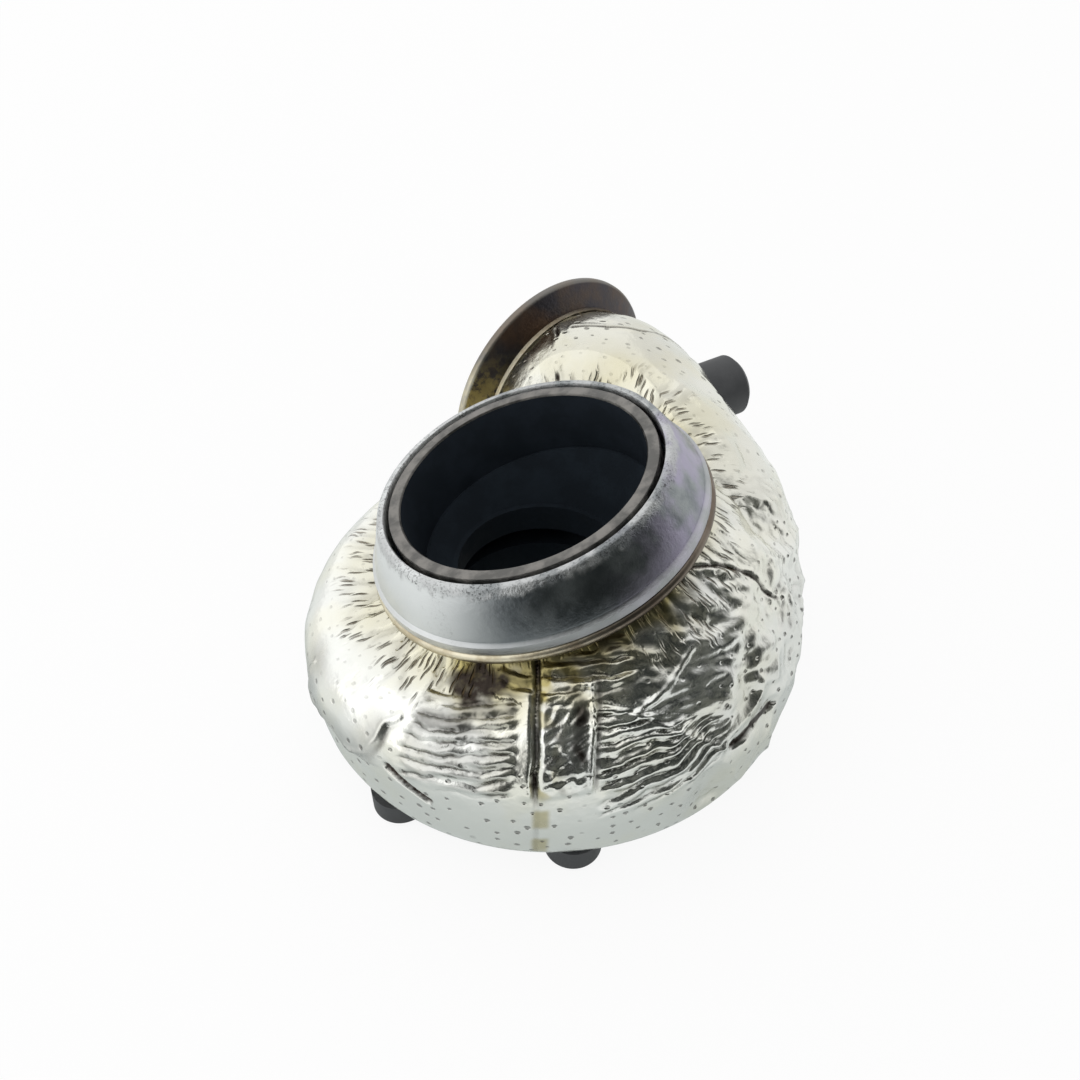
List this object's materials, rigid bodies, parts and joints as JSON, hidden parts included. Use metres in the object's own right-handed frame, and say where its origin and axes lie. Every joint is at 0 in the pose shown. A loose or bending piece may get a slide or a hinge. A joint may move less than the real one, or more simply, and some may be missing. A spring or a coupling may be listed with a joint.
{
  "type": "turbocharger housing cover",
  "caption": "Insulated turbine housing of a diesel turbocharger: a cast snail inside a crimped bright sheet cover, with a tilted clamp outlet, a round inlet flange and a capped side port.",
  "frame": {"origin": "on the wheel axis, in the bearing side face of the casting", "axes": "+Z along the wheel axis towards the outlet, +Y the way the inlet flange faces, +X to the side of the inlet pipe"},
  "size_m": [0.2331, 0.186, 0.1215],
  "materials": {
    "cast_iron": "cast",
    "liner_steel": "satin",
    "collar_steel": "heat darkened",
    "hem_steel": "heat tinted",
    "flange_steel": "heat tinted",
    "wool": "fibrous",
    "foil": "bright crimped sheet",
    "stud_steel": "plain",
    "black_cap": "matt"
  },
  "bodies": {
    "root": {"turbine_housing": "cast_iron", "outlet_liner": "liner_steel", "outlet_collar": "collar_steel", "collar_hem": "hem_steel", "inlet_flange": "flange_steel", "inlet_hem": "hem_steel", "insulation_mat": "wool", "foil_left": "foil", "foil_right": "foil", "foil_pan": "foil", "seam_strip": "foil", "port_cap": "black_cap", "stud_1": "stud_steel", "stud_cap_1": "black_cap", "stud_2": "stud_steel", "stud_cap_2": "black_cap", "stud_3": "stud_steel", "stud_cap_3": "black_cap", "stud_4": "stud_steel", "stud_cap_4": "black_cap"}
  },
  "joints": []
}
